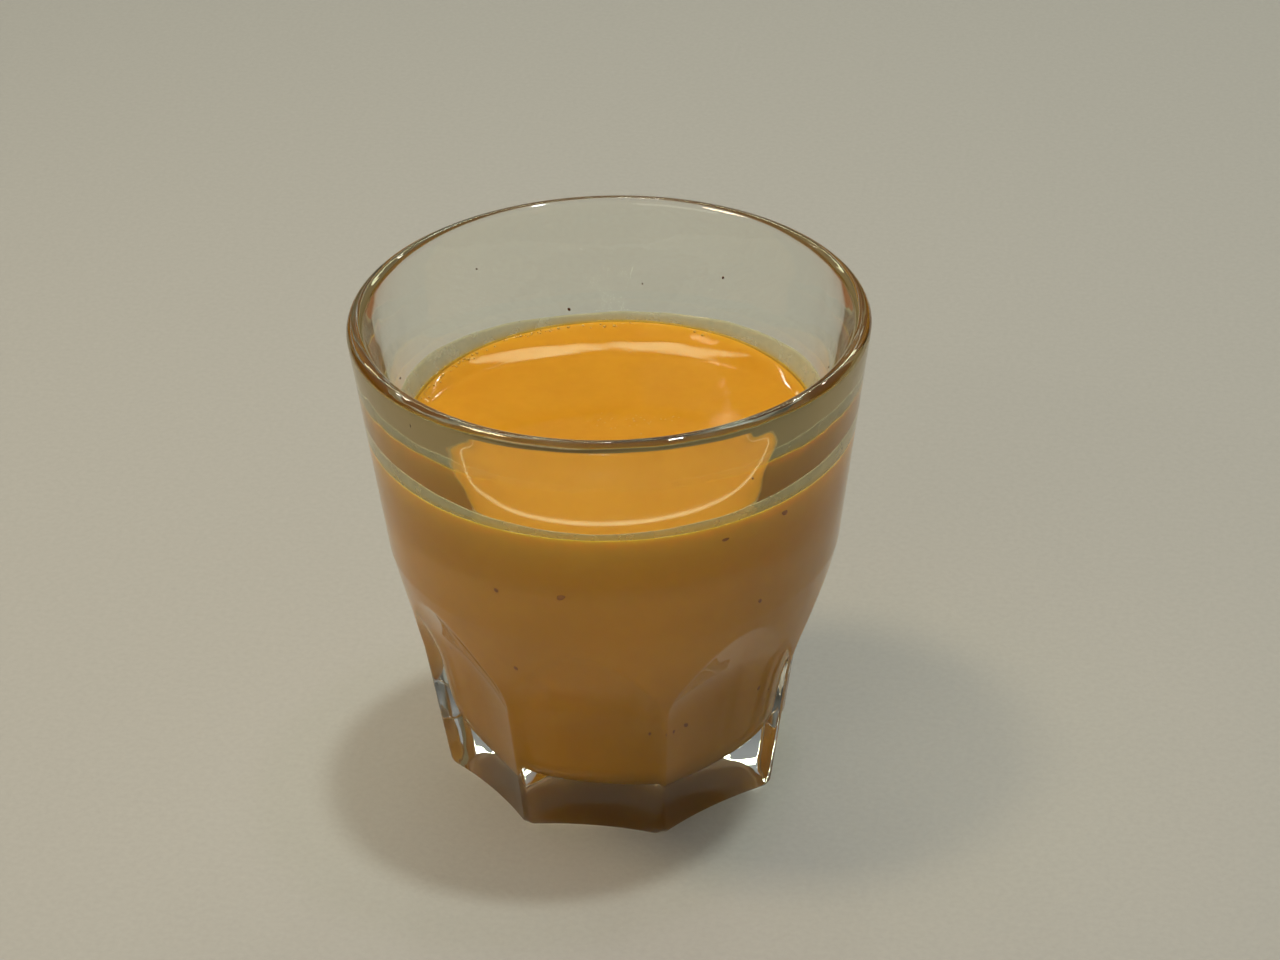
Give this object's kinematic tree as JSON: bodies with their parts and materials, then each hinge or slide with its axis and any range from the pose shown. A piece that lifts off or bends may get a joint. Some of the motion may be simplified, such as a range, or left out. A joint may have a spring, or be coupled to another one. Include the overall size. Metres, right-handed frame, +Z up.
{
  "type": "glass of mango lassi",
  "caption": "Clear pressed-glass tumbler with a thick octagonal fluted foot under arches and a plain conical bowl, about two thirds full of orange-yellow mango lassi.",
  "frame": {"origin": "centre of the underside of the foot, on the table", "axes": "+Z up along the glass's axis; one of the eight flutes faces -Y"},
  "size_m": [0.0844, 0.0844, 0.0835],
  "materials": {
    "glass": "clear, faintly green, fire-polished pressed glass",
    "lassi": "smooth thick opaque drink with a wet surface"
  },
  "bodies": {
    "root": {"tumbler": "glass", "lassi": "lassi"}
  },
  "joints": []
}
